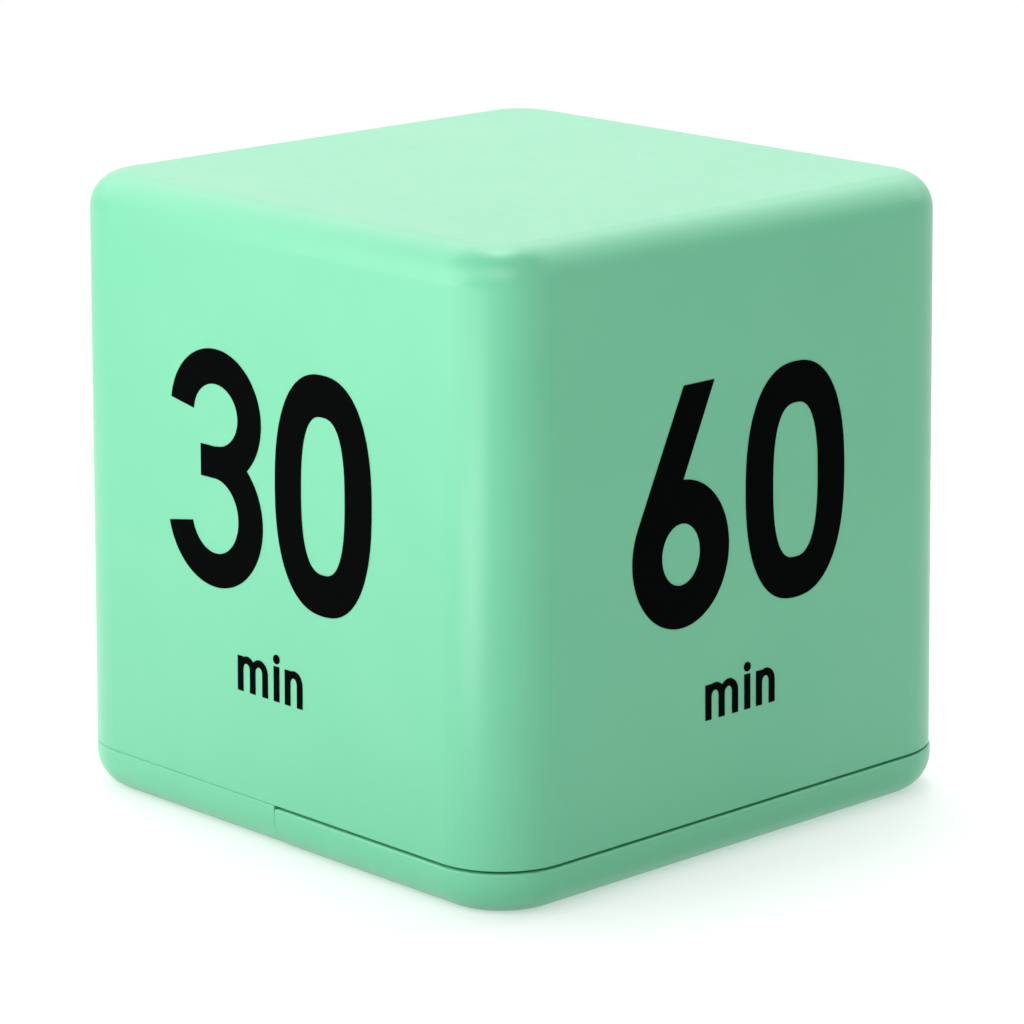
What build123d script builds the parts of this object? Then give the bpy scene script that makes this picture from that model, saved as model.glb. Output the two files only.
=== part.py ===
from build123d import *
from math import acos, atan2, cos, hypot, pi, radians, sin, sqrt, tan
import os

# Gravity cube timer. Sizes are in millimetres and angles in degrees. The case stands on its foot, Z up, with
# its middle over the origin. The battery door is the half of the foot on +X and slides off that way.

# Cells, two of them side by side under the door, each with its nub the other way round
cell_diameter = 10.5
cell_length = 44.5
cell_edge_radius = 0.5
nub_diameter = 3.8
nub_height = 0.8
cell_gap = 0.7
cell_clear = 0.6
cell_tongue_gap = 0.4

# Battery bay, a well that is open to the door
bay_wall = 1.3
end_wall = 1.45
spring_room = 4.7
contact_gap = 0.2

# Case
wall = 2.0
floor = 2.0
case_height = 58.7
edge_radius = 7.3
top_radius = 3.3
foot_radius = 3.4
draft_angle = 0.74
seam_rise = 1.05
seam_round = 0.15
overcut = 1.0

# Rim of the base inside the housing
rim_wall = 1.3
rim_gap = 0.1
rim_height = 2.55
deck_thickness = 1.5
deck_clear = 0.4

# Battery door, its rails and its tongues
door_split = 0.4
door_gap = 0.2
door_seam_gap = 0.2
door_clear = 0.35
door_proud = 0.12
door_round = 0.2
door_corner_radius = 0.3
rail_depth = 0.75
rail_height = 0.8
rail_clear = 0.15
groove_clear = 0.2
rail_start = 2.0
rail_end_gap = 0.7
tongue_width = 8.0
tongue_thickness = 0.8
tongue_lift = 0.2
tongue_reach = 2.4
tongue_root = 2.5
tongue_spacing = 28.0
tongue_clear = 0.3
grip_width = 1.2
grip_length = 16.0
grip_depth = 0.5
grip_pitch = 2.4
grip_count = 4
grip_inset = 8.5

# Case screws and the columns that take them
screw_root_radius = 1.1
screw_length = 10.0
screw_point = 0.4
head_radius = 2.3
head_height = 1.8
head_round = 0.4
recess_width = 2.6
recess_slot = 0.6
recess_depth = 0.9
pilot_clear = 0.05
hole_clear = 0.3
head_clear = 0.4
screw_tip_gap = 1.0
column_radius = 3.2
column_inset = 7.6
column_rib = 1.2
rib_gap = 1.0
boss_rise = 0.5
boss_radius = 3.2
head_sink = 2.4
bay_screw_spacing = 28.0
bay_boss_radius = 3.8
bay_boss_height = 1.8
bay_head_gap = 0.1

# Display, with its window in the foot
lcd_length = 28.0
lcd_width = 14.0
lcd_glass = 1.1
lcd_fit = 0.15
lcd_frame_wall = 1.05
lcd_frame_drop = 0.2
lcd_tongue_gap = 1.0
lcd_switch_gap = 1.9
lcd_sounder_gap = 0.9
view_margin = 2.0
view_radius = 1.0
window_margin = 1.4
window_thickness = 0.8
window_sink = 0.2
window_fit = 0.1
strip_width = 1.2
strip_gap = 0.3
strip_trim = 1.0

# Circuit board. Its chip and crystal sit off the display's far end, its small parts off the sounder
board_thickness = 1.2
board_height = 7.2
board_end_gap = 1.9
board_bay_gap = 0.9
board_rim_gap = 1.2
board_column_gap = 0.8
board_boss_radius = 2.2
board_screw_root = 0.8
board_screw_length = 5.0
board_head_radius = 1.8
board_head_height = 1.2
board_hole_clear = 0.3
board_boss_inset = 2.6
board_boss_gap = 0.2
board_boss_rim_gap = 1.5
board_boss_column_gap = 0.8
blob_radius = 4.5
blob_height = 1.6
blob_shift = (-0.8, -7.0)
crystal_radius = 1.0
crystal_length = 6.0
crystal_shift = (-8.8, -6.0)
chip_size = (1.6, 0.8, 0.5)
resistor_pitch = 2.0
resistor_count = 5
resistor_shift = (5.5, 1.1)
capacitor_size = (2.0, 1.25, 0.9)
capacitor_pitch = 2.6
capacitor_count = 3
capacitor_shift = (-5.5, 1.1)
transistor_size = (2.9, 1.3, 1.0)
transistor_leg = (0.4, 0.6, 0.3)
transistor_shift = (0.0, 3.6)

# Slide switch for off, quiet and loud
switch_width = 4.0
switch_length = 9.0
switch_body_height = 3.6
switch_rim_gap = 1.2
switch_shift = -0.8
switch_travel = 4.0
switch_stem = 1.5
switch_slot_clear = 0.2
switch_slot_depth = 2.0
thumb_width = 2.2
thumb_length = 2.6
thumb_height = 1.2
thumb_sink = 0.4
thumb_clear = 0.3
terminal_radius = 0.4
terminal_pitch = 2.5
terminal_count = 3
terminal_rise = 0.8
terminal_fit = 0.1

# Sounder
disc_radius = 7.0
disc_thickness = 0.3
ceramic_margin = 1.8
ceramic_thickness = 0.25
ring_margin = 0.5
ring_seat = 0.8
ring_height = 1.2
sounder_bay_gap = 3.6
sounder_rim_gap = 0.5
sounder_column_gap = 0.15
sound_hole_radius = 0.65
sound_hole_circle = 3.2
sound_hole_count = 6
lead_radius = 0.3
lead_bend = 0.9
lead_rise = 1.4
lead_jog = 2.6

# Tilt switches, a ball in a can each
can_wall = 0.5
can_length = 6.5
header_thickness = 1.5
ball_radius = 1.5
ball_clear = 0.3
ball_end_gap = 0.1
pin_radius = 0.25
pin_spacing = 2.0
pin_reach = 1.2
pin_bend = 0.6
tilt_shift = (-1.3, -8.8)
tilt_spacing = 5.0
tilt_turn = 45.0
upright_gap = 1.6

# Battery contacts and leads
plate_thickness = 0.4
plate_width = 8.4
plate_height = 8.6
dimple_radius = 2.0
dimple_height = 0.7
dimple_slope = 10.0
tag_width = 2.0
tag_height = 1.6
tag_clear = 0.3
spring_wire_radius = 0.3
spring_base_radius = 3.7
spring_tip_radius = 2.4
spring_turns = 3.25
spring_tip_gap = 0.1
spring_min_gap = 0.4
spring_samples = 36
battery_lead_radius = 0.6
battery_lead_bend = 1.4
battery_lead_rise = 4.0
battery_pad_inset = 4.0
battery_pad_black = -12.3
battery_pad_red = 3.7

# Print on the sides, a thin film of ink. The figures are drawn at one height and sized to digit_height
ink = 0.05
print_height_30 = 23.45
print_height_60 = 22.65
print_height_hidden = 23.0
word_drop = 9.1
word_shift_60 = -0.13
digit_height = 21.75
drawn_height = 21.75
three_middle = 11.38
three_upper_height = 15.8
three_upper_shift = 0.08
three_upper_outer = (6.25, 6.05)
three_upper_inner = (3.05, 2.85)
three_lower_height = 6.48
three_lower_shift = -0.12
three_lower_outer = (6.62, 6.62)
three_lower_inner = (3.27, 3.48)
three_bar_reach = 2.05
three_bar_bottom = 9.95
three_bar_top = 12.9
bowl_end_slope = 10.0
bowl_end_offset = 0.34
zero_middle = 10.92
zero_outer = (6.43, 10.85)
zero_outer_power = 2.37
zero_inner = (2.92, 7.1)
zero_inner_power = 2.6
zero_points = 32
six_middle = 6.7
six_outer = (6.02, 6.68)
six_inner = (2.37, 2.78)
six_stem_left = 0.4
six_stem_right = 4.2
six_crotch = (0.3, 13.38)
five_middle = 6.75
five_outer = (6.5, 6.75)
five_inner = (3.1, 3.55)
five_stem_left = -4.9
five_stem_right = -1.7
five_stem_bottom = 9.8
five_bar_end = 5.2
five_bar_bottom = 18.65
one_stem_left = -0.2
one_stem_width = 3.6
one_flag_reach = 4.4
one_flag_drop = 2.85
one_flag_height = 3.6
place_three = -7.33
place_zero_30 = 7.31
place_six = -7.6
place_zero_60 = 7.0
place_one = -6.6
place_five_15 = 6.4
letter_stroke = 0.76
letter_height = 3.25
letter_arch_top = 3.33
letter_arch_rise = 1.25
letter_arch_crown = 0.68
letter_arch_shift = 0.07
m_stems = (-4.08, -2.39, -0.67)
i_stem = 0.91
n_stems = (2.43, 4.08)
dot_radius = 0.44
dot_height = 3.92

# Sizes that follow from those above
draft = tan(radians(draft_angle))
seam_height = foot_radius + seam_rise
rim_top = seam_height + rim_height
rim_inset = wall + rim_gap + rim_wall
groove_depth = rail_depth + groove_clear
plate_room = plate_thickness + dimple_height + contact_gap
bay_length = cell_length + spring_room + plate_room
bay_width = 2 * cell_diameter + cell_gap + 2 * cell_clear
bay_left = door_split - bay_wall
bay_middle = door_split + bay_width / 2
tongue_front = door_split - tongue_reach
lcd_ledge = strip_width + strip_gap
lcd_frame_width = lcd_width + 2 * (lcd_fit + lcd_frame_wall)
lcd_frame_length = lcd_length + 2 * (lcd_fit + lcd_frame_wall)
lcd_front_room = board_boss_rim_gap + 2 * board_boss_radius + board_boss_gap
ring_radius = disc_radius + ring_margin
ceramic_radius = disc_radius - ceramic_margin
can_radius = ball_radius + ball_clear + can_wall

# The case is as wide as the neediest of what lies across or along it: the bay both ways, the display with its
# switch across, the display with the sounder along, and the sounder beside a corner screw
rim_room = rim_inset + rim_top * draft
lcd_room = lcd_tongue_gap + lcd_frame_width + lcd_switch_gap + switch_width + switch_rim_gap - tongue_front
sounder_room = 2 * ring_radius + lcd_sounder_gap + sounder_rim_gap
screw_room = column_inset + boss_radius + sounder_column_gap + disc_radius
case_width = max(
    bay_length + 2 * (end_wall + groove_depth + door_clear + wall),
    2 * (door_split + bay_width + bay_wall + door_clear + wall),
    2 * (lcd_room + rim_room),
    lcd_front_room + lcd_frame_length + sounder_room + 2 * rim_room,
    2 * (screw_room + ring_radius + sounder_bay_gap - bay_left),
)

# Heights
tongue_top = floor + tongue_lift + tongue_thickness
cell_height = tongue_top + cell_tongue_gap + cell_diameter / 2
bay_roof = cell_height + cell_diameter / 2 + cell_clear
bay_top = bay_roof + bay_wall
deck_bottom = floor + deck_clear
deck_top = deck_bottom + deck_thickness
door_top = seam_height - door_seam_gap
boss_top = rim_top + boss_rise
roof_height = case_height - wall
board_top = board_height + board_thickness

# Places, from the rim, the bay and the door's tongues
rim_inside = case_width / 2 - rim_room
cell_places = [bay_middle + side * (cell_diameter + cell_gap) / 2 for side in (-1, 1)]
lcd_front = lcd_front_room - rim_inside
lcd_back = lcd_front + lcd_frame_length
lcd_place = (tongue_front - lcd_tongue_gap - lcd_frame_width / 2, (lcd_front + lcd_back) / 2)
switch_place = (switch_rim_gap + switch_width / 2 - rim_inside, lcd_place[1] + switch_shift)
sounder_place = (bay_left - sounder_bay_gap - ring_radius, lcd_back + lcd_sounder_gap + ring_radius)


def half_width(height):
    """Half the case's width at a height, taken in by the mould's draft."""
    return case_width / 2 - height * draft


def case_block(bottom, top, inset):
    """A drafted block of the case's outline, taken in by an inset, between two heights."""
    side = 2 * (half_width(bottom) - inset)
    radius = edge_radius - bottom * draft - inset
    with BuildPart() as block:
        with BuildSketch(Plane.XY.offset(bottom)):
            RectangleRounded(side, side, radius)
        extrude(amount=top - bottom, taper=draft_angle)
    return block.part


def foot_slab(top, proud, top_round):
    """The case's foot as a solid with a rounded lower edge, standing proud of the case by a little."""
    with BuildPart() as slab:
        add(case_block(0, top, -proud))
        fillet(slab.faces().sort_by(Axis.Z)[0].edges(), foot_radius)
        fillet(slab.faces().sort_by(Axis.Z)[-1].edges(), top_round)
    return slab.part


def write(piece, name):
    """Labels a finished piece and writes it as one STEP file."""
    piece.part.label = name
    export_step(piece.part, f"parts/{name}.step")


os.makedirs("parts", exist_ok=True)

# Fasteners, and the openings in the foot
column_place = case_width / 2 - column_inset
corner_screws = [(-column_place, -column_place), (-column_place, column_place)]
bay_screws = [(bay_middle, -bay_screw_spacing / 2), (bay_middle, bay_screw_spacing / 2)]
bay_boss_top = bay_top + bay_boss_height
corner_seat = head_sink + head_height
bay_seat = bay_roof + bay_head_gap + head_height
board_left = board_rim_gap - rim_inside
board_right = bay_left - board_bay_gap
boss_left = board_left + board_boss_inset
boss_right = tongue_front - board_boss_gap - board_boss_radius
boss_back = lcd_back + board_boss_gap + board_boss_radius
board_bosses = [
    (boss_left, boss_radius + board_boss_column_gap + board_boss_radius - column_place),
    (boss_left, boss_back),
    (boss_right, boss_back),
    (boss_right, lcd_front - board_boss_gap - board_boss_radius),
]
view_length = lcd_length - 2 * view_margin
view_width = lcd_width - 2 * view_margin
window_length = view_length + 2 * window_margin
window_width = view_width + 2 * window_margin
window_top = window_sink + window_thickness
thumb_slot_width = thumb_width + 2 * thumb_clear
thumb_slot_length = thumb_length + switch_travel + 2 * thumb_clear
pilot_radius = screw_root_radius + pilot_clear

# Housing: the five-sided shell with its print, and the columns that take the case screws
with BuildPart() as housing:
    add(case_block(seam_height, case_height, 0))
    fillet(housing.faces().sort_by(Axis.Z)[-1].edges(), top_radius)
    fillet(housing.faces().sort_by(Axis.Z)[0].edges(), seam_round)
    add(case_block(seam_height, roof_height, wall), mode=Mode.SUBTRACT)
    with BuildSketch(Plane.XY.offset(boss_top)):
        with Locations(*corner_screws):
            Circle(column_radius)
    extrude(amount=roof_height + wall / 2 - boss_top)
    with BuildSketch(Plane.XY.offset(bay_boss_top)):
        with Locations(*bay_screws):
            Circle(column_radius)
    extrude(amount=roof_height + wall / 2 - bay_boss_top)
    rib_end = half_width(case_height) - wall / 2
    with BuildSketch(Plane.XY.offset(bay_boss_top + rib_gap)):
        for side in (-1, 1):
            with Locations((-(column_place + rib_end) / 2, side * column_place)):
                Rectangle(rib_end - column_place, column_rib)
            with Locations((-column_place, side * (column_place + rib_end) / 2)):
                Rectangle(column_rib, rib_end - column_place)
            with Locations((bay_middle, side * (bay_screw_spacing / 2 + rib_end) / 2)):
                Rectangle(column_rib, rib_end - bay_screw_spacing / 2)
    extrude(amount=roof_height + wall / 2 - bay_boss_top - rib_gap)
    with BuildSketch(Plane.XY.offset(boss_top)):
        with Locations(*corner_screws):
            Circle(pilot_radius)
    extrude(amount=corner_seat + screw_length + screw_tip_gap - boss_top, mode=Mode.SUBTRACT)
    with BuildSketch(Plane.XY.offset(bay_boss_top)):
        with Locations(*bay_screws):
            Circle(pilot_radius)
    extrude(amount=bay_seat + screw_length + screw_tip_gap - bay_boss_top, mode=Mode.SUBTRACT)
write(housing, "housing")

# The two hollows inside the base's rim: down to the floor on one side of the bay, to the deck on the other
with BuildPart() as floor_hollow:
    add(case_block(floor, rim_top + overcut, rim_inset))
    split(bisect_by=Plane.YZ.offset(bay_left), keep=Keep.BOTTOM)
with BuildPart() as deck_hollow:
    add(case_block(deck_top, rim_top + overcut, rim_inset))
    split(bisect_by=Plane.YZ.offset(bay_left), keep=Keep.TOP)
with BuildPart() as fixed_foot:
    add(foot_slab(seam_height, 0, seam_round))
    split(bisect_by=Plane.YZ.offset(door_split), keep=Keep.BOTTOM)

# Base: the fixed half of the foot, the rim inside the housing, the battery bay and the bosses
with BuildPart() as base_plate:
    add(fixed_foot.part)
    add(case_block(deck_bottom, seam_height, wall + door_clear))
    add(case_block(seam_height, rim_top, wall + rim_gap))
    add(floor_hollow.part, mode=Mode.SUBTRACT)
    add(deck_hollow.part, mode=Mode.SUBTRACT)
    with BuildSketch(Plane.XY.offset(deck_bottom)):
        with Locations((bay_middle, 0)):
            Rectangle(bay_width + 2 * bay_wall, bay_length + 2 * bay_wall)
    extrude(amount=bay_top - deck_bottom)
    with BuildSketch(Plane.XY.offset(bay_top)):
        with Locations(*bay_screws):
            Circle(bay_boss_radius)
    extrude(amount=bay_boss_height)
    with BuildSketch():
        with Locations((bay_middle, 0)):
            Rectangle(bay_width, bay_length)
    extrude(amount=bay_roof, mode=Mode.SUBTRACT)
    # Bosses for the case screws and the board, and the ring under the sounder
    with BuildSketch(Plane.XY.offset(floor)):
        with Locations(*corner_screws):
            Circle(boss_radius)
    extrude(amount=boss_top - floor)
    with BuildSketch(Plane.XY.offset(floor)):
        with Locations(*board_bosses):
            Circle(board_boss_radius)
    extrude(amount=board_height - floor)
    with BuildSketch(Plane.XY.offset(floor)):
        with Locations(sounder_place):
            Circle(ring_radius)
            Circle(disc_radius - ring_seat, mode=Mode.SUBTRACT)
    extrude(amount=ring_height)
    # Screw holes, from below
    with BuildSketch():
        with Locations(*corner_screws):
            Circle(head_radius + head_clear)
    extrude(amount=corner_seat, mode=Mode.SUBTRACT)
    with BuildSketch(Plane.XY.offset(corner_seat)):
        with Locations(*corner_screws):
            Circle(screw_root_radius + hole_clear)
    extrude(amount=boss_top - corner_seat, mode=Mode.SUBTRACT)
    with BuildSketch(Plane.XY.offset(bay_roof)):
        with Locations(*bay_screws):
            Circle(head_radius + head_clear)
    extrude(amount=bay_seat - bay_roof, mode=Mode.SUBTRACT)
    with BuildSketch(Plane.XY.offset(bay_seat)):
        with Locations(*bay_screws):
            Circle(screw_root_radius + hole_clear)
    extrude(amount=bay_boss_top - bay_seat, mode=Mode.SUBTRACT)
    with BuildSketch(Plane.XY.offset(board_height)):
        with Locations(*board_bosses):
            Circle(board_screw_root + pilot_clear)
    extrude(amount=-(board_height - floor), mode=Mode.SUBTRACT)
    # Grooves for the door's rails and slots for its tongues, open towards +X so that the door slides off
    groove_floor = half_width(deck_bottom) - wall - door_clear - groove_depth
    with BuildSketch(Plane.XY.offset(door_top - rail_height - rail_clear)):
        for side in (-1, 1):
            with Locations((door_split, side * groove_floor)):
                Rectangle(
                    case_width / 2,
                    groove_depth + door_clear,
                    align=(Align.MIN, Align.MIN if side > 0 else Align.MAX),
                )
    extrude(amount=rail_height + 2 * rail_clear, mode=Mode.SUBTRACT)
    with BuildSketch(Plane.XY.offset(floor)):
        with GridLocations(0, tongue_spacing, 1, 2):
            with Locations((bay_left - overcut, 0)):
                Rectangle(
                    case_width / 2 - bay_left,
                    tongue_width + 2 * tongue_clear,
                    align=(Align.MIN, Align.CENTER),
                )
    extrude(amount=tongue_top + tongue_clear - floor, mode=Mode.SUBTRACT)
    # Window recess and view, switch slot, sound holes, and slots in the bay's roof for the contacts' tags
    with BuildSketch():
        with Locations(lcd_place):
            RectangleRounded(window_width + 2 * window_fit, window_length + 2 * window_fit, view_radius)
    extrude(amount=window_top, mode=Mode.SUBTRACT)
    with BuildSketch():
        with Locations(lcd_place):
            RectangleRounded(view_width, view_length, view_radius)
        with Locations(switch_place):
            RectangleRounded(thumb_slot_width, thumb_slot_length, thumb_clear)
        with Locations(sounder_place):
            Circle(sound_hole_radius)
            with PolarLocations(sound_hole_circle, sound_hole_count):
                Circle(sound_hole_radius)
    extrude(amount=floor, mode=Mode.SUBTRACT)
    with BuildSketch(Plane.XY.offset(bay_roof)):
        for place in cell_places:
            with Locations((place, -bay_length / 2)):
                Rectangle(
                    tag_width + 2 * tag_clear,
                    plate_thickness + tag_clear,
                    align=(Align.CENTER, Align.MIN),
                )
    extrude(amount=bay_wall, mode=Mode.SUBTRACT)
write(base_plate, "base_plate")

# Battery door: the other half of the foot, a tray with rails, tongues and finger grips
with BuildPart() as battery_door:
    add(foot_slab(door_top, door_proud, door_round))
    add(case_block(floor, door_top + overcut, wall), mode=Mode.SUBTRACT)
    split(bisect_by=Plane.YZ.offset(door_split + door_gap), keep=Keep.TOP)
    with BuildSketch(Plane.XZ):
        with Locations((door_split + door_gap, door_top)):
            Rectangle(door_corner_radius, door_corner_radius, align=(Align.MIN, Align.MAX))
        with Locations((door_split + door_gap + door_corner_radius, door_top - door_corner_radius)):
            Circle(door_corner_radius, mode=Mode.SUBTRACT)
    extrude(amount=case_width, both=True, mode=Mode.SUBTRACT)
    rail_outside = half_width(floor) - wall / 2
    rail_inside = half_width(floor) - wall - door_clear - rail_depth
    rail_end = case_width / 2 - edge_radius - rail_end_gap
    with BuildSketch(Plane.XY.offset(door_top - rail_height)):
        for side in (-1, 1):
            with Locations(((rail_start + rail_end) / 2, side * (rail_inside + rail_outside) / 2)):
                Rectangle(rail_end - rail_start, rail_outside - rail_inside)
    extrude(amount=rail_height)
    with BuildSketch(Plane.XY.offset(floor)):
        with GridLocations(0, tongue_spacing, 1, 2):
            with Locations((door_split + door_gap, 0)):
                Rectangle(tongue_root, tongue_width, align=(Align.MIN, Align.CENTER))
    extrude(amount=tongue_top - floor)
    with BuildSketch(Plane.XY.offset(floor + tongue_lift)):
        with GridLocations(0, tongue_spacing, 1, 2):
            with Locations((door_split - tongue_reach, 0)):
                Rectangle(tongue_reach + tongue_root, tongue_width, align=(Align.MIN, Align.CENTER))
    extrude(amount=tongue_thickness)
    with BuildSketch():
        with Locations((case_width / 2 - grip_inset, 0)):
            with GridLocations(grip_pitch, 0, grip_count, 1):
                SlotOverall(grip_length, grip_width, rotation=90)
    extrude(amount=grip_depth, mode=Mode.SUBTRACT)
write(battery_door, "battery_door")


def self_tapper(root_radius, length, radius, height):
    """A pan-head screw standing on its head's seat at the origin, with a cross recess and a pointed tip."""
    with BuildPart() as screw:
        with BuildSketch():
            Circle(root_radius)
        extrude(amount=length)
        chamfer(screw.faces().sort_by(Axis.Z)[-1].edges(), screw_point)
        with BuildSketch():
            Circle(radius)
        extrude(amount=-height)
        fillet(screw.faces().sort_by(Axis.Z)[0].edges(), head_round)
        with BuildSketch(Plane.XY.offset(-height)):
            Rectangle(recess_width, recess_slot)
            Rectangle(recess_slot, recess_width)
        extrude(amount=recess_depth, mode=Mode.SUBTRACT)
    return screw.part


case_screw = self_tapper(screw_root_radius, screw_length, head_radius, head_height)
with BuildPart() as case_screws:
    for x, y in corner_screws:
        add(Pos(x, y, corner_seat) * case_screw)
    for x, y in bay_screws:
        add(Pos(x, y, bay_seat) * case_screw)
write(case_screws, "case_screws")

board_screw = self_tapper(board_screw_root, board_screw_length, board_head_radius, board_head_height)
with BuildPart() as board_screws:
    for x, y in board_bosses:
        add(Pos(x, y, board_top) * Rot(X=180) * board_screw)
write(board_screws, "board_screws")

# Display: window, two glasses, the conducting rubber strips on the lower glass's ledges, and the frame
with BuildPart() as lcd_window:
    with BuildSketch(Plane.XY.offset(window_sink)):
        with Locations(lcd_place):
            RectangleRounded(window_width, window_length, view_radius)
    extrude(amount=window_thickness)
write(lcd_window, "lcd_window")

with BuildPart() as lcd_front_glass:
    with BuildSketch(Plane.XY.offset(floor)):
        with Locations(lcd_place):
            Rectangle(lcd_width, lcd_length)
    extrude(amount=lcd_glass)
write(lcd_front_glass, "lcd_front_glass")

with BuildPart() as lcd_back_glass:
    with BuildSketch(Plane.XY.offset(floor + lcd_glass)):
        with Locations(lcd_place):
            Rectangle(lcd_width - 2 * lcd_ledge, lcd_length)
    extrude(amount=lcd_glass)
write(lcd_back_glass, "lcd_back_glass")

with BuildPart() as zebra_strips:
    with BuildSketch(Plane.XY.offset(floor + lcd_glass)):
        with Locations(lcd_place):
            with GridLocations(lcd_width - strip_width, 0, 2, 1):
                Rectangle(strip_width, lcd_length - 2 * strip_trim)
    extrude(amount=board_height - floor - lcd_glass)
write(zebra_strips, "zebra_strips")

with BuildPart() as lcd_frame:
    with BuildSketch(Plane.XY.offset(floor)):
        with Locations(lcd_place):
            Rectangle(lcd_frame_width, lcd_frame_length)
            Rectangle(lcd_width + 2 * lcd_fit, lcd_length + 2 * lcd_fit, mode=Mode.SUBTRACT)
    extrude(amount=board_height - lcd_frame_drop - floor)
write(lcd_frame, "lcd_frame")

# Circuit board, notched round the housing's columns, with what is soldered on it
terminal_places = [
    (switch_place[0], switch_place[1] + (step - (terminal_count - 1) / 2) * terminal_pitch)
    for step in range(terminal_count)
]
tilt_middle = (lcd_place[0] + tilt_shift[0], lcd_place[1] + tilt_shift[1])
upright_place = (tilt_middle[0], lcd_front - upright_gap)
upright_pins = [(upright_place[0] + side * pin_spacing / 2, upright_place[1]) for side in (-1, 1)]
with BuildPart() as circuit_board:
    with BuildSketch(Plane.XY.offset(board_height)):
        with Locations(((board_left + board_right) / 2, 0)):
            Rectangle(board_right - board_left, 2 * (rim_inside - board_end_gap))
        with Locations(*corner_screws):
            Circle(column_radius + board_column_gap, mode=Mode.SUBTRACT)
        with Locations(*board_bosses):
            Circle(board_screw_root + board_hole_clear, mode=Mode.SUBTRACT)
        with Locations(*terminal_places):
            Circle(terminal_radius + terminal_fit, mode=Mode.SUBTRACT)
        with Locations(*upright_pins):
            Circle(pin_radius + terminal_fit, mode=Mode.SUBTRACT)
    extrude(amount=board_thickness)
write(circuit_board, "circuit_board")

# The drop of epoxy over the bare chip is a cap of a sphere
blob_place = (lcd_place[0] + blob_shift[0], lcd_back + blob_shift[1])
blob_sphere = (blob_radius**2 + blob_height**2) / (2 * blob_height)
with BuildPart() as chip_blob:
    with BuildSketch(Plane.XZ.offset(-blob_place[1])):
        with BuildLine():
            Line((blob_place[0], board_top), (blob_place[0] + blob_radius, board_top))
            RadiusArc(
                (blob_place[0] + blob_radius, board_top),
                (blob_place[0], board_top + blob_height),
                -blob_sphere,
            )
            Line((blob_place[0], board_top + blob_height), (blob_place[0], board_top))
        make_face()
    revolve(axis=Axis((blob_place[0], blob_place[1], 0), (0, 0, 1)))
write(chip_blob, "chip_blob")

crystal_place = (lcd_place[0] + crystal_shift[0], lcd_back + crystal_shift[1])
with BuildPart() as crystal:
    with BuildSketch(Plane.YZ.offset(crystal_place[0] - crystal_length / 2)):
        with Locations((crystal_place[1], board_top + crystal_radius)):
            Circle(crystal_radius)
    extrude(amount=crystal_length)
write(crystal, "crystal")

with BuildPart() as resistors:
    with BuildSketch(Plane.XY.offset(board_top)):
        with Locations(sounder_place):
            with Locations(resistor_shift):
                with GridLocations(0, resistor_pitch, 1, resistor_count):
                    Rectangle(chip_size[0], chip_size[1])
    extrude(amount=chip_size[2])
write(resistors, "resistors")

with BuildPart() as capacitors:
    with BuildSketch(Plane.XY.offset(board_top)):
        with Locations(sounder_place):
            with Locations(capacitor_shift):
                with GridLocations(0, capacitor_pitch, 1, capacitor_count):
                    Rectangle(capacitor_size[0], capacitor_size[1])
    extrude(amount=capacitor_size[2])
write(capacitors, "capacitors")

transistor_place = (sounder_place[0] + transistor_shift[0], sounder_place[1] + transistor_shift[1])
with BuildPart() as transistor:
    with BuildSketch(Plane.XY.offset(board_top)):
        with Locations(transistor_place):
            Rectangle(transistor_size[0], transistor_size[1])
    extrude(amount=transistor_size[2])
    with BuildSketch(Plane.XY.offset(board_top)):
        with Locations(transistor_place):
            with Locations((0, (transistor_size[1] + transistor_leg[1]) / 2)):
                Rectangle(transistor_leg[0], transistor_leg[1])
            with Locations((0, -(transistor_size[1] + transistor_leg[1]) / 2)):
                with GridLocations(transistor_size[0] - 2 * transistor_leg[0], 0, 2, 1):
                    Rectangle(transistor_leg[0], transistor_leg[1])
    extrude(amount=transistor_leg[2])
write(transistor, "transistor")

# Slide switch under the board: its body, its terminals and the slider that shows in the foot
switch_bottom = board_height - switch_body_height
with BuildPart() as switch_body:
    with BuildSketch(Plane.XY.offset(switch_bottom)):
        with Locations(switch_place):
            Rectangle(switch_width, switch_length)
    extrude(amount=switch_body_height)
    with BuildSketch(Plane.XY.offset(switch_bottom)):
        with Locations(switch_place):
            Rectangle(
                switch_stem + 2 * switch_slot_clear,
                switch_stem + switch_travel + 2 * switch_slot_clear,
            )
    extrude(amount=switch_slot_depth, mode=Mode.SUBTRACT)
write(switch_body, "switch_body")

with BuildPart() as switch_terminals:
    with BuildSketch(Plane.XY.offset(board_height)):
        with Locations(*terminal_places):
            Circle(terminal_radius)
    extrude(amount=board_thickness + terminal_rise)
write(switch_terminals, "switch_terminals")

knob_place = (switch_place[0], switch_place[1] - switch_travel / 2)
with BuildPart() as switch_knob:
    with BuildSketch(Plane.XY.offset(thumb_sink)):
        with Locations(knob_place):
            Rectangle(thumb_width, thumb_length)
    extrude(amount=thumb_height)
    with BuildSketch(Plane.XY.offset(thumb_sink + thumb_height)):
        with Locations(knob_place):
            Rectangle(switch_stem, switch_stem)
    extrude(amount=switch_bottom + switch_slot_depth - switch_slot_clear - thumb_sink - thumb_height)
write(switch_knob, "switch_knob")

# Sounder: a brass disc on the base's ring, its ceramic, and two short leads up to the board
disc_bottom = floor + ring_height
ceramic_bottom = disc_bottom + disc_thickness
with BuildPart() as sounder_disc:
    with BuildSketch(Plane.XY.offset(disc_bottom)):
        with Locations(sounder_place):
            Circle(disc_radius)
    extrude(amount=disc_thickness)
write(sounder_disc, "sounder_disc")

with BuildPart() as sounder_ceramic:
    with BuildSketch(Plane.XY.offset(ceramic_bottom)):
        with Locations(sounder_place):
            Circle(ceramic_radius)
    extrude(amount=ceramic_thickness)
write(sounder_ceramic, "sounder_ceramic")


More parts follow.
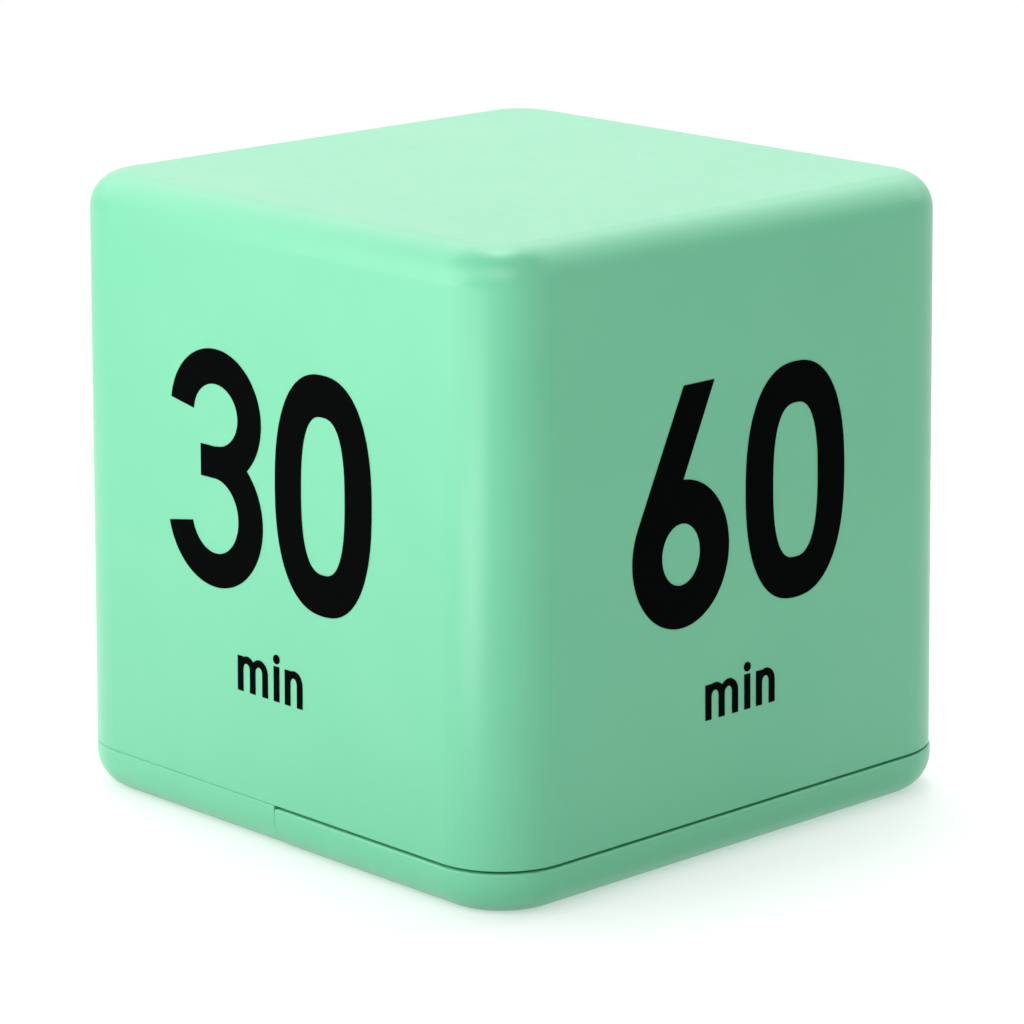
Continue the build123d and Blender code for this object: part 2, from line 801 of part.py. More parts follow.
def wire(points, bend, radius):
    """A round wire along straight runs joined by arcs, square at both ends."""
    with BuildPart() as strand:
        with BuildLine() as path:
            FilletPolyline(*points, radius=bend)
        with BuildSketch(Plane(origin=path.line @ 0, z_dir=path.line % 0)):
            Circle(radius)
        sweep()
    straight = pi * radius**2 * path.wire().length
    print("wire", round(strand.part.volume / straight, 4), "of section times length")
    return strand.part


def sounder_lead(offset, bottom):
    """A lead that rises from the sounder, jogs sideways and goes on up to the board."""
    x = sounder_place[0] + offset
    y = sounder_place[1]
    corner = bottom + lead_rise
    points = [(x, y, bottom), (x, y, corner), (x, y + lead_jog, corner), (x, y + lead_jog, board_height)]
    return wire(points, lead_bend, lead_radius)


ceramic_top = ceramic_bottom + ceramic_thickness
disc_rim_middle = (ceramic_radius + disc_radius) / 2
with BuildPart() as sounder_lead_red:
    add(sounder_lead(0, ceramic_top))
write(sounder_lead_red, "sounder_lead_red")
with BuildPart() as sounder_lead_black:
    add(sounder_lead(-disc_rim_middle, ceramic_bottom))
write(sounder_lead_black, "sounder_lead_black")

# Tilt switches: each is a closed can over a header with two pins, and a ball that rolls along it
tilt_axis_height = board_top + can_radius
tilt_planes = {
    "left": Plane(
        (tilt_middle[0] - tilt_spacing / 2, tilt_middle[1], tilt_axis_height),
        x_dir=(0, 0, 1),
        z_dir=(-cos(radians(tilt_turn)), sin(radians(tilt_turn)), 0),
    ),
    "right": Plane(
        (tilt_middle[0] + tilt_spacing / 2, tilt_middle[1], tilt_axis_height),
        x_dir=(0, 0, 1),
        z_dir=(cos(radians(tilt_turn)), sin(radians(tilt_turn)), 0),
    ),
    "upright": Plane((upright_place[0], upright_place[1], board_top)),
}
for side, plane in tilt_planes.items():
    with BuildPart() as tilt_header:
        with BuildSketch(plane):
            Circle(can_radius)
        extrude(amount=header_thickness)
    write(tilt_header, f"tilt_{side}_header")
    with BuildPart() as tilt_can:
        with BuildSketch(plane.offset(header_thickness)):
            Circle(can_radius)
        extrude(amount=can_length)
        with BuildSketch(plane.offset(header_thickness)):
            Circle(can_radius - can_wall)
        extrude(amount=can_length - can_wall, mode=Mode.SUBTRACT)
    write(tilt_can, f"tilt_{side}_can")
    with BuildPart() as tilt_ball:
        with Locations(plane.offset(header_thickness + ball_end_gap + ball_radius)):
            Sphere(ball_radius)
    write(tilt_ball, f"tilt_{side}_ball")


def bent_pin(plane, offset):
    """A pin that leaves a lying header along its axis and bends down to the board."""
    start = plane.from_local_coords((0, offset, 0))
    corner = plane.from_local_coords((0, offset, -pin_reach))
    end = (corner.X, corner.Y, board_top)
    return wire([start, corner, end], pin_bend, pin_radius)


with BuildPart() as tilt_pins:
    for side in ("left", "right"):
        for offset in (-pin_spacing / 2, pin_spacing / 2):
            add(bent_pin(tilt_planes[side], offset))
    with BuildSketch(Plane.XY.offset(board_top)):
        with Locations(*upright_pins):
            Circle(pin_radius)
    extrude(amount=-(board_thickness + terminal_rise))
write(tilt_pins, "tilt_pins")

# Cells, the first with its nub towards +Y and the second towards -Y
cell_middle = (spring_room - plate_room) / 2
for number, (place, way) in enumerate(zip(cell_places, (1, -1)), start=1):
    foot = Plane(
        (place, way * (cell_middle - cell_length / 2), cell_height), x_dir=(1, 0, 0), z_dir=(0, way, 0)
    )
    with BuildPart() as cell:
        with BuildSketch(foot):
            Circle(cell_diameter / 2)
        extrude(amount=cell_length - nub_height)
        fillet(cell.edges().filter_by(GeomType.CIRCLE), cell_edge_radius)
        with BuildSketch(foot.offset(cell_length - nub_height)):
            Circle(nub_diameter / 2)
        extrude(amount=nub_height)
    write(cell, f"battery_cell_{number}")


def contact_plate(places, face, way, dimples, tags):
    """A contact plate against one end of the bay, over one or both cells, with dimples and solder tags."""
    left = min(places) - plate_width / 2
    right = max(places) + plate_width / 2
    seat = Plane((0, face, cell_height), x_dir=(-way, 0, 0), z_dir=(0, way, 0))
    with BuildPart() as plate:
        with BuildSketch(seat):
            with Locations((-way * (left + right) / 2, 0)):
                Rectangle(right - left, plate_height)
            for place in tags:
                with Locations((-way * place, 0)):
                    Rectangle(
                        tag_width,
                        bay_top + tag_height - cell_height,
                        align=(Align.CENTER, Align.MIN),
                    )
        extrude(amount=plate_thickness)
        for place in dimples:
            with BuildSketch(seat.offset(plate_thickness)):
                with Locations((-way * place, 0)):
                    Circle(dimple_radius)
            extrude(amount=dimple_height, taper=dimple_slope)
    return plate.part


with BuildPart() as contact_bridge:
    add(contact_plate(cell_places, bay_length / 2, -1, cell_places[:1], []))
write(contact_bridge, "contact_bridge")
with BuildPart() as contact_minus:
    add(contact_plate(cell_places[:1], -bay_length / 2, 1, [], cell_places[:1]))
write(contact_minus, "contact_minus")
with BuildPart() as contact_plus:
    add(contact_plate(cell_places[1:], -bay_length / 2, 1, cell_places[1:], cell_places[1:]))
write(contact_plus, "contact_plus")


def spring_point(angle, plane, length):
    """A point and a direction on the spring: a spiral that climbs evenly while its radius narrows."""
    share = angle / (2 * pi * spring_turns)
    radius = spring_base_radius + (spring_tip_radius - spring_base_radius) * share
    narrowing = (spring_tip_radius - spring_base_radius) / (2 * pi * spring_turns)
    climb = (length - 2 * spring_wire_radius) / (2 * pi * spring_turns)
    point = Vector(radius * cos(angle), radius * sin(angle), spring_wire_radius + climb * angle)
    way = Vector(
        narrowing * cos(angle) - radius * sin(angle),
        narrowing * sin(angle) + radius * cos(angle),
        climb,
    )
    start = plane.from_local_coords(point)
    return start, (plane.from_local_coords(point + way) - start).normalized()


def contact_spring(plane, length):
    """A conical spring on a contact plate, one wire swept along two arcs for each quarter turn."""
    quarters = round(4 * spring_turns)
    nodes = [spring_point(step * pi / 2, plane, length) for step in range(quarters + 1)]
    with BuildPart() as coil:
        with BuildLine() as path:
            for (start, leave), (end, arrive) in zip(nodes, nodes[1:]):
                chord = end - start
                both = leave + arrive
                square = 2 * (1 - leave.dot(arrive))
                reach = (sqrt(chord.dot(both) ** 2 + square * chord.dot(chord)) - chord.dot(both)) / square
                joint = (start + leave * reach + end - arrive * reach) * 0.5
                first = TangentArc(start, joint, tangent=leave)
                TangentArc(joint, end, tangent=first % 1)
        with BuildSketch(Plane(origin=path.line @ 0, z_dir=path.line % 0)):
            Circle(spring_wire_radius)
        sweep()
    count = spring_samples * quarters
    samples = [path.line @ (step / count) for step in range(count + 1)]
    half_turn = 2 * spring_samples
    least = min(
        (samples[a] - samples[b]).length - 2 * spring_wire_radius
        for a in range(len(samples))
        for b in range(a + half_turn, len(samples))
    )
    print("spring gap", round(least, 2), "wanted over", spring_min_gap)
    return coil.part


spring_length = spring_room - plate_thickness - spring_tip_gap
for number, (place, way) in enumerate(zip(cell_places, (1, -1)), start=1):
    seat = Plane(
        (place, way * (plate_thickness - bay_length / 2), cell_height), x_dir=(1, 0, 0), z_dir=(0, way, 0)
    )
    with BuildPart() as spring:
        add(contact_spring(seat, spring_length))
    write(spring, f"contact_spring_{number}")

# Battery leads, from the tags over the bay to the board
tag_face = -bay_length / 2 + plate_thickness
pads = (("black", lcd_place[1] + battery_pad_black), ("red", lcd_place[1] + battery_pad_red))
for place, (colour, pad) in zip(cell_places, pads):
    behind = tag_face + battery_lead_radius
    over = bay_top + battery_lead_rise
    points = [
        (place, behind, bay_top),
        (place, behind, over),
        (place, pad, over),
        (board_right - battery_pad_inset, pad, over),
        (board_right - battery_pad_inset, pad, board_top),
    ]
    with BuildPart() as battery_lead:
        add(wire(points, battery_lead_bend, battery_lead_radius))
    write(battery_lead, f"battery_lead_{colour}")


def superellipse(size, power):
    """A closed oval |x/a|^n + |y/b|^n = 1, squarer than an ellipse for powers over two."""
    points = []
    for step in range(zero_points):
        angle = 2 * pi * step / zero_points
        x = abs(cos(angle)) ** (2 / power) * (1 if cos(angle) >= 0 else -1)
        y = abs(sin(angle)) ** (2 / power) * (1 if sin(angle) >= 0 else -1)
        points.append((size[0] * x, size[1] * y))
    with BuildSketch() as oval:
        with BuildLine():
            Spline(*points, periodic=True)
        make_face()
    return oval.sketch


def zero():
    """The figure nought, with its foot on the X axis."""
    with BuildSketch() as figure:
        with Locations((0, zero_middle)):
            add(superellipse(zero_outer, zero_outer_power))
            add(superellipse(zero_inner, zero_inner_power), mode=Mode.SUBTRACT)
    return figure.sketch


def open_bowl(outer, inner, way, edge):
    """An oval ring about the origin, open on its left from an edge, up or down to a sloped end."""
    far = 2 * max(outer)
    rise = way * tan(radians(bowl_end_slope))
    with BuildSketch() as bowl:
        Ellipse(*outer)
        Ellipse(*inner, mode=Mode.SUBTRACT)
        corners = [
            (edge, -edge * rise - bowl_end_offset),
            (-far, far * rise - bowl_end_offset),
            (-far, -way * far),
            (edge, -way * far),
        ]
        Polygon(*corners, align=None, mode=Mode.SUBTRACT)
    return bowl.sketch


def three():
    """The figure three: two open bowls that meet at a short bar."""
    far = 2 * drawn_height
    bar_end = max(three_upper_shift, three_lower_shift)
    with BuildSketch() as upper:
        with Locations((three_upper_shift, three_upper_height)):
            add(open_bowl(three_upper_outer, three_upper_inner, 1, 0))
        with Locations((0, three_middle)):
            Rectangle(far, far, align=(Align.CENTER, Align.MIN), mode=Mode.INTERSECT)
    with BuildSketch() as lower:
        with Locations((three_lower_shift, three_lower_height)):
            add(open_bowl(three_lower_outer, three_lower_inner, -1, 0))
        with Locations((0, three_middle)):
            Rectangle(far, far, align=(Align.CENTER, Align.MAX), mode=Mode.INTERSECT)
    with BuildSketch() as figure:
        add(upper.sketch)
        add(lower.sketch)
        with Locations((bar_end, three_bar_bottom)):
            Rectangle(
                three_bar_reach + bar_end,
                three_bar_top - three_bar_bottom,
                align=(Align.MAX, Align.MIN),
            )
    return figure.sketch


def six():
    """The figure six: an oval bowl and a straight stem that leaves it along a tangent."""
    reach = (six_stem_left / six_outer[0], (drawn_height - six_middle) / six_outer[1])
    angle = atan2(reach[1], reach[0]) + acos(1 / hypot(*reach))
    touch = (six_outer[0] * cos(angle), six_middle + six_outer[1] * sin(angle))
    with BuildSketch() as figure:
        corners = [
            (six_stem_left, drawn_height),
            (six_stem_right, drawn_height),
            six_crotch,
            (0, six_middle),
            touch,
        ]
        Polygon(*corners, align=None)
        with Locations((0, six_middle)):
            Ellipse(*six_outer)
            Ellipse(*six_inner, mode=Mode.SUBTRACT)
    return figure.sketch


def five():
    """The figure five: an open bowl, a stem on its cut edge and a bar along the top."""
    with BuildSketch() as figure:
        with Locations((0, five_middle)):
            add(open_bowl(five_outer, five_inner, -1, five_stem_right))
        with Locations((five_stem_left, drawn_height)):
            Rectangle(
                five_stem_right - five_stem_left,
                drawn_height - five_stem_bottom,
                align=(Align.MIN, Align.MAX),
            )
            Rectangle(
                five_bar_end - five_stem_left,
                drawn_height - five_bar_bottom,
                align=(Align.MIN, Align.MAX),
            )
    return figure.sketch


def one():
    """The figure one: an upright stem with a sloped flag."""
    flag_end = one_stem_left - one_flag_reach
    with BuildSketch() as figure:
        with Locations((one_stem_left, 0)):
            Rectangle(one_stem_width, drawn_height, align=(Align.MIN, Align.MIN))
        corners = [
            (one_stem_left, drawn_height),
            (flag_end, drawn_height - one_flag_drop),
            (flag_end, drawn_height - one_flag_drop - one_flag_height),
            (one_stem_left, drawn_height - one_flag_height),
        ]
        Polygon(*corners, align=None)
    return figure.sketch


def arch(spacing):
    """The round shoulder between two stems of a letter, over the middle of their gap."""
    outer = (spacing + letter_stroke) / 2 - letter_arch_shift
    with BuildSketch() as shoulder:
        with Locations((letter_arch_shift, 0)):
            Ellipse(outer, letter_arch_rise)
        Ellipse((spacing - letter_stroke) / 2, letter_arch_rise - letter_arch_crown, mode=Mode.SUBTRACT)
        Rectangle(
            2 * spacing, letter_arch_rise, align=(Align.CENTER, Align.MIN), mode=Mode.INTERSECT
        )
    return shoulder.sketch


def word():
    """The word min, in round-shouldered lower-case letters with its middle on the Y axis."""
    shoulder = letter_arch_top - letter_arch_rise
    with BuildSketch() as letters:
        for stem in (m_stems[0], i_stem, n_stems[0]):
            with Locations((stem, 0)):
                Rectangle(letter_stroke, letter_height, align=(Align.CENTER, Align.MIN))
        for stem in (*m_stems[1:], n_stems[1]):
            with Locations((stem, 0)):
                Rectangle(letter_stroke, shoulder, align=(Align.CENTER, Align.MIN))
        for left, right in (m_stems[:2], m_stems[1:], n_stems):
            with Locations(((left + right) / 2, shoulder)):
                add(arch(right - left))
        with Locations((i_stem, dot_height)):
            Circle(dot_radius)
    return letters.sketch


def side_plane(turn):
    """The drafted face of one side, with its origin at the foot, X along the side and Y up the face."""
    out = Vector(sin(radians(turn)), -cos(radians(turn)), 0)
    tilt = radians(draft_angle)
    return Plane(
        out * (case_width / 2),
        x_dir=(cos(radians(turn)), sin(radians(turn)), 0),
        z_dir=(out.X * cos(tilt), out.Y * cos(tilt), sin(tilt)),
    )


# The four sides in order round the case, each with its turn, the height of its figures, the place of its word
# and its figures
prints = {
    "print_30": (0, print_height_30, 0, [(three(), place_three), (zero(), place_zero_30)]),
    "print_60": (90, print_height_60, word_shift_60, [(six(), place_six), (zero(), place_zero_60)]),
    "print_5": (180, print_height_hidden, 0, [(five(), 0)]),
    "print_15": (270, print_height_hidden, 0, [(one(), place_one), (five(), place_five_15)]),
}
figure_scale = digit_height / drawn_height
for name, (turn, height, word_place, figures) in prints.items():
    sized = [(scale(figure, by=figure_scale), place * figure_scale) for figure, place in figures]
    with BuildPart() as film:
        with BuildSketch(side_plane(turn)):
            for figure, place in sized:
                with Locations((place, height)):
                    add(figure)
            with Locations((word_place, height - word_drop)):
                add(word())
        extrude(amount=ink)
    write(film, name)
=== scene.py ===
from math import cos, pi, radians, sin

import bpy
import numpy as np
from mathutils import Matrix, Vector


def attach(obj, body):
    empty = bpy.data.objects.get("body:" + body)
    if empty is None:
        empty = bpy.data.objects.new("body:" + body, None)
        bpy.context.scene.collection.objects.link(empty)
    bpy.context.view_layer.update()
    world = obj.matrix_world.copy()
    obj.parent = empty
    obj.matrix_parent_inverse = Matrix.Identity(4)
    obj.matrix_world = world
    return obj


# Gravity cube timer, in metres and in the frame of its solids: Z up, the side marked 30 on -Y, the side marked
# 60 on +X, and the foot on Z = 0

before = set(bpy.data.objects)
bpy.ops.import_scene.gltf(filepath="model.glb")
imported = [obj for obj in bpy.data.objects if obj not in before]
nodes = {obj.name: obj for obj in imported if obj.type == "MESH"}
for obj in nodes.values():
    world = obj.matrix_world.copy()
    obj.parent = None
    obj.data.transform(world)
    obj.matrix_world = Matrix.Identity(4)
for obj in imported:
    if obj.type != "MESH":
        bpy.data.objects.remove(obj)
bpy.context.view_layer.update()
MM = 0.001
UPWARD = Vector((0, 0, 1))
WHITE = (1, 1, 1, 1)

# The kinds of node used most. A ramp takes a value, where it starts and ends, and what it gives there. A mix takes its
# share as input 0, and two numbers as 2 and 3 for output 0 or two colours as 6 and 7 for output 2
NOISE, RAMP, MIX, MATH = "ShaderNodeTexNoise", "ShaderNodeMapRange", "ShaderNodeMix", "ShaderNodeMath"
# Where most of a noise's values lie, the middle part of them, and a soft step at one half
SPREAD, MIDDLE, HALFWAY = (0.3, 0.7), (0.35, 0.65), (0.4, 0.6)
# How far the roughness strays to either side, on moulded plastic and on other surfaces
PLASTIC_STRAY, OTHER_STRAY = 0.02, 0.05


def linear(code):
    """sRGB hex to linear RGBA: c / 12.92 up to 0.04045, and ((c + 0.055) / 1.055) ^ 2.4 above that."""
    parts = [int(code[i:i + 2], 16) / 255 for i in (1, 3, 5)]
    return [c / 12.92 if c <= 0.04045 else ((c + 0.055) / 1.055) ** 2.4 for c in parts] + [1.0]


def give(tree, made, settings):
    """Sets a node's properties and input values; a value that is a socket is linked into the input instead."""
    for name, value in settings.items():
        if not isinstance(name, int) and name not in made.inputs:
            setattr(made, name, value)
        elif isinstance(value, bpy.types.NodeSocket):
            tree.links.new(value, made.inputs[name])
        else:
            made.inputs[name].default_value = value
    return made


def node(tree, kind, settings=()):
    """Adds a node of a kind to a tree, with its settings and links, and gives its outputs. Where the settings are a
    list, they are the inputs in their order."""
    settings = enumerate(settings) if isinstance(settings, list) else settings
    return give(tree, tree.nodes.new(kind), dict(settings)).outputs


def material(name):
    """A material with one Principled shader; gives the material, its tree, the shader and the place on the piece."""
    made = bpy.data.materials.new(name)
    made.use_nodes = True
    tree = made.node_tree
    return made, tree, tree.nodes["Principled BSDF"], node(tree, "ShaderNodeTexCoord")["Object"]


def dress(finish, *names):
    """Gives CAD nodes a finish in place of the one that they came with."""
    for name in names:
        for slot in nodes[name].material_slots:
            slot.material = finish


def moulded(name, colour, deeper, roughness, flow, peel, depth):
    """Moulded thermoplastic. The colour drifts a little with the flow of the melt, the gloss is a little uneven,
    and the skin has a faint peel; flow and peel are sizes in mm and depth is the peel's height in mm."""
    made, tree, shader, place = material(name)
    drift = node(tree, NOISE, {"Vector": place, "Scale": 1 / (flow * MM), "Detail": 3.0})["Fac"]
    skin = node(tree, NOISE, {"Vector": place, "Scale": 1 / (peel * MM), "Detail": 2.0})["Fac"]
    share = node(tree, RAMP, [drift, *MIDDLE, 0.0, 1.0])[0]
    bump = {"Strength": 1.0, "Distance": depth * MM, "Height": skin}
    give(tree, shader, {
        "IOR": 1.53,
        "Base Color": node(tree, MIX, {"data_type": "RGBA", 0: share, 6: linear(colour), 7: linear(deeper)})[2],
        "Roughness": node(tree, RAMP, [skin, *SPREAD, roughness - PLASTIC_STRAY, roughness + PLASTIC_STRAY])[0],
        "Normal": node(tree, "ShaderNodeBump", bump)["Normal"],
    })
    return made


def metal(name, colour, darker, roughness, line, stretch):
    """Bare metal. Fine lines of a size in mm, stretched along one axis by the three numbers given, vary its
    brightness and its gloss; where the three are the same, there is an even mottle instead of lines."""
    made, tree, shader, place = material(name)
    lines = node(tree, "ShaderNodeMapping", {"Vector": place, "Scale": [s / (line * MM) for s in stretch]})["Vector"]
    marks = node(tree, NOISE, {"Vector": lines, "Scale": 1.0, "Detail": 3.0})["Fac"]
    share = node(tree, RAMP, [marks, *SPREAD, 0.0, 1.0])[0]
    give(tree, shader, {
        "Metallic": 1.0,
        "Base Color": node(tree, MIX, {"data_type": "RGBA", 0: share, 6: linear(colour), 7: linear(darker)})[2],
        "Roughness": node(tree, RAMP, [marks, *SPREAD, roughness - OTHER_STRAY, roughness + OTHER_STRAY])[0],
    })
    return made


def tipped(name, colour, deeper, roughness, grain, axis, low, high, tip):
    """A dull body with bare metal ends. The body lies between low and high, in mm along an axis, and has a grain
    of a size in mm; past them the metal shows, with an even gloss."""
    fade, tip_roughness = 0.04, 0.32
    made, tree, shader, place = material(name)
    along = node(tree, "ShaderNodeSeparateXYZ", [place])[axis]
    before = node(tree, RAMP, [along, (low - fade) * MM, (low + fade) * MM, 1.0, 0.0])[0]
    after = node(tree, RAMP, [along, (high - fade) * MM, (high + fade) * MM, 0.0, 1.0])[0]
    bare = node(tree, MATH, {"operation": "MAXIMUM", 0: before, 1: after})[0]
    speck = node(tree, NOISE, {"Vector": place, "Scale": 1 / (grain * MM), "Detail": 2.0})["Fac"]
    share = node(tree, RAMP, [speck, *SPREAD, 0.0, 1.0])[0]
    body = node(tree, MIX, {"data_type": "RGBA", 0: share, 6: linear(colour), 7: linear(deeper)})[2]
    dull = node(tree, RAMP, [speck, *SPREAD, roughness - OTHER_STRAY, roughness + OTHER_STRAY])[0]
    give(tree, shader, {
        "Metallic": bare,
        "Base Color": node(tree, MIX, {"data_type": "RGBA", 0: bare, 6: body, 7: linear(tip)})[2],
        "Roughness": node(tree, MIX, {0: bare, 2: dull, 3: tip_roughness})[0],
    })
    return made


def piece(name, points, faces, body, finish):
    """Puts an array of points in metres and a list of faces into a mesh that rides on a body."""
    mesh = bpy.data.meshes.new(name)
    mesh.from_pydata(points.reshape(-1, 3).tolist(), [], faces)
    mesh.validate()
    mesh.materials.append(finish)
    made = bpy.data.objects.new(name, mesh)
    bpy.context.collection.objects.link(made)
    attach(made, body)


def stand(thing, across, above, looking, place):
    """Puts a camera or a lamp into the scene at a place, with its own three axes along the directions given."""
    thing.matrix_world = Matrix((across, above, looking)).transposed().to_4x4()
    thing.matrix_world.translation = place
    bpy.context.collection.objects.link(thing)


# Camera, at the photograph's place: a long lens on the timer's front edge, a little above it
AZIMUTH, ELEVATION, ROLL = radians(46.662), radians(13.994), radians(-0.189)
DISTANCE, AIM_RIGHT, AIM_DOWN = 409.413, 0.044, 2.884
FOCAL_PIXELS, PICTURE_PIXELS, SENSOR = 4387.3, 1024, 36.0
CENTRE = Vector((0, 0, 29.355)) * MM
back = Vector((sin(AZIMUTH) * cos(ELEVATION), -cos(AZIMUTH) * cos(ELEVATION), sin(ELEVATION)))
right = Vector((cos(AZIMUTH), sin(AZIMUTH), 0))
up = back.cross(right)
eye = CENTRE + back * DISTANCE * MM
aim = CENTRE + (right * AIM_RIGHT - up * AIM_DOWN) * MM
looking = (eye - aim).normalized()
level = UPWARD.cross(looking).normalized()
upright = looking.cross(level)
across = level * cos(ROLL) + upright * sin(ROLL)
above = upright * cos(ROLL) - level * sin(ROLL)
camera = bpy.data.objects.new("camera", bpy.data.cameras.new("camera"))
camera.data.sensor_width = SENSOR
camera.data.lens = FOCAL_PIXELS / PICTURE_PIXELS * SENSOR
camera.data.clip_start, camera.data.clip_end = 0.05, 20.0
stand(camera, across, above, looking, eye)
bpy.context.scene.camera = camera
bpy.context.scene.view_settings.view_transform = "Standard"


def seen(tree):
    """1 for what the camera, a reflection or a clear piece looks at, and 0 for light on its way to a surface."""
    path = node(tree, "ShaderNodeLightPath")
    either = node(tree, MATH, {"operation": "MAXIMUM", 0: path["Is Camera Ray"], 1: path["Is Glossy Ray"]})[0]
    return node(tree, MATH, {"operation": "MAXIMUM", 0: either, 1: path["Is Transmission Ray"]})[0]


# Stage: a pale paper floor that keeps the shadow round the timer and goes over into an even white surround
FLOOR_HALF, SHADOW_RADIUS, WHITE_RADIUS, LIFT, CLOSE_BY = 3.0, 0.10, 0.24, 0.38, 0.002
floor_mesh = bpy.data.meshes.new("floor")
corners = np.array([(-1, -1, 0), (1, -1, 0), (1, 1, 0), (-1, 1, 0)], float) * FLOOR_HALF
floor_mesh.from_pydata(corners.tolist(), [], [(0, 1, 2, 3)])
floor = bpy.data.objects.new("floor", floor_mesh)
bpy.context.collection.objects.link(floor)
floor_paper = bpy.data.materials.new("white_paper_floor")
floor_paper.use_nodes = True
tree = floor_paper.node_tree
tree.nodes.clear()
place = node(tree, "ShaderNodeTexCoord")["Object"]
away = node(tree, "ShaderNodeVectorMath", {"operation": "LENGTH", 0: place})["Value"]
far = node(tree, RAMP, [away, SHADOW_RADIUS, WHITE_RADIUS, 0.0, 1.0])[0]
looked_at = seen(tree)
far = node(tree, MATH, {"operation": "MULTIPLY", 0: far, 1: looked_at})[0]
lift = node(tree, MATH, {"operation": "MULTIPLY", 0: looked_at, 1: LIFT})[0]
paper = node(tree, "ShaderNodeBsdfDiffuse", {"Color": linear("#e6e6e6")})[0]
glow = node(tree, "ShaderNodeEmission", {"Color": WHITE, "Strength": lift})[0]
near = node(tree, "ShaderNodeAddShader", [paper, glow])[0]
white = node(tree, "ShaderNodeEmission", {"Color": WHITE, "Strength": 1.0})[0]
topside = node(tree, "ShaderNodeMixShader", [far, near, white])[0]
# The paper is left out from below, on the way to a lamp and close by the foot, so that the foot shows and is lit. A
# mirrored ray counts as a metre longer, so the foot's round edge still mirrors the paper
clear = node(tree, "ShaderNodeBsdfTransparent")[0]
below = node(tree, "ShaderNodeNewGeometry")["Backfacing"]
path = node(tree, "ShaderNodeLightPath")
left_out = node(tree, MATH, {"operation": "MAXIMUM", 0: below, 1: path["Is Shadow Ray"]})[0]
mirrored = node(tree, MATH, {"operation": "SUBTRACT", 0: path["Is Glossy Ray"], 1: path["Is Transmission Ray"]})[0]
length = node(tree, MATH, {"operation": "ADD", 0: path["Ray Length"], 1: mirrored})[0]
close_by = node(tree, MATH, {"operation": "LESS_THAN", 0: length, 1: CLOSE_BY})[0]
left_out = node(tree, MATH, {"operation": "MAXIMUM", 0: left_out, 1: close_by})[0]
shown = node(tree, "ShaderNodeMixShader", [left_out, topside, clear])[0]
node(tree, "ShaderNodeOutputMaterial", {"Surface": shown})
floor_mesh.materials.append(floor_paper)

AMBIENT = 0.10
world = bpy.data.worlds.new("white_surround")
world.use_nodes = True
tree = world.node_tree
tree.nodes.clear()
strength = node(tree, RAMP, [seen(tree), 0.0, 1.0, AMBIENT, 1.0])[0]
surround = node(tree, "ShaderNodeBackground", {"Color": WHITE, "Strength": strength})[0]
node(tree, "ShaderNodeOutputWorld", {"Surface": surround})
bpy.context.scene.world = world


def softbox(name, leftward, toward, height, size, power, flat=False):
    """An area lamp of a width and depth in metres. Its place is given in metres as seen from the camera: to the
    left, towards the camera, and up. It faces the timer's middle, or straight up where it lies flat."""
    lamp = bpy.data.objects.new(name, bpy.data.lights.new(name, "AREA"))
    lamp.data.shape = "RECTANGLE"
    lamp.data.size, lamp.data.size_y = size
    lamp.data.energy = power
    place = -right * leftward + Vector((back.x, back.y, 0)).normalized() * toward + UPWARD * height
    away = -UPWARD if flat else (place - CENTRE).normalized()
    level = right if flat else UPWARD.cross(away).normalized()
    stand(lamp, level, away.cross(level), away, place)


# A low softbox close by on the left with a key above it, a panel on the floor that shows in the gloss of the front
# edge, a fill in front, a long softbox overhead with a small one for the corner, one far behind for the sheen of the
# top, a fill on the right, and a panel beneath for the foot
softbox("low_left_softbox", 0.21, 0.08, 0.09, (0.18, 0.16), 0.225)
softbox("key_softbox", 0.45, 0.45, 0.40, (0.45, 0.45), 0.85)
softbox("front_panel", 0.083, 0.15, 0.001, (0.062, 0.12), 0.14, flat=True)
softbox("front_softbox", 0.0, 0.74, 0.56, (0.6, 0.5), 2.5)
softbox("overhead_softbox", 0.0, -0.30, 0.45, (2.2, 0.40), 4.5)
softbox("corner_softbox", 0.0, -0.08, 0.50, (0.16, 0.24), 0.65)
softbox("back_softbox", 0.0, -0.70, 0.26, (0.9, 0.24), 0.22)
softbox("right_softbox", -0.60, 0.35, 0.30, (0.45, 0.45), 0.35)
softbox("table_panel", 0.0, 0.0, -0.10, (0.20, 0.20), 0.10, flat=True)

# Case: mint ABS from a polished mould. Smooth and satin, with soft broad reflections and a faint peel
case_abs = moulded("mint_abs_moulded", "#71cba0", "#6ec99e", 0.33, 14.0, 1.6, 0.004)
dress(case_abs, "housing", "base_plate", "battery_door")

# Figures: black ink, pad printed. Dense and a little duller than the plastic, with a fine grain
INK_GRAIN = 0.4
ink, tree, shader, place = material("black_ink_pad_printed")
grain = node(tree, NOISE, {"Vector": place, "Scale": 1 / (INK_GRAIN * MM), "Detail": 2.0})["Fac"]
share = node(tree, RAMP, [grain, *SPREAD, 0.0, 1.0])[0]
give(tree, shader, {
    "IOR": 1.45,
    "Specular IOR Level": 0.01,
    "Base Color": node(tree, MIX, {"data_type": "RGBA", 0: share, 6: linear("#010202"), 7: linear("#040505")})[2],
    "Roughness": node(tree, RAMP, [grain, *SPREAD, 0.50, 0.58])[0],
})
dress(ink, "print_30", "print_60", "print_5", "print_15")

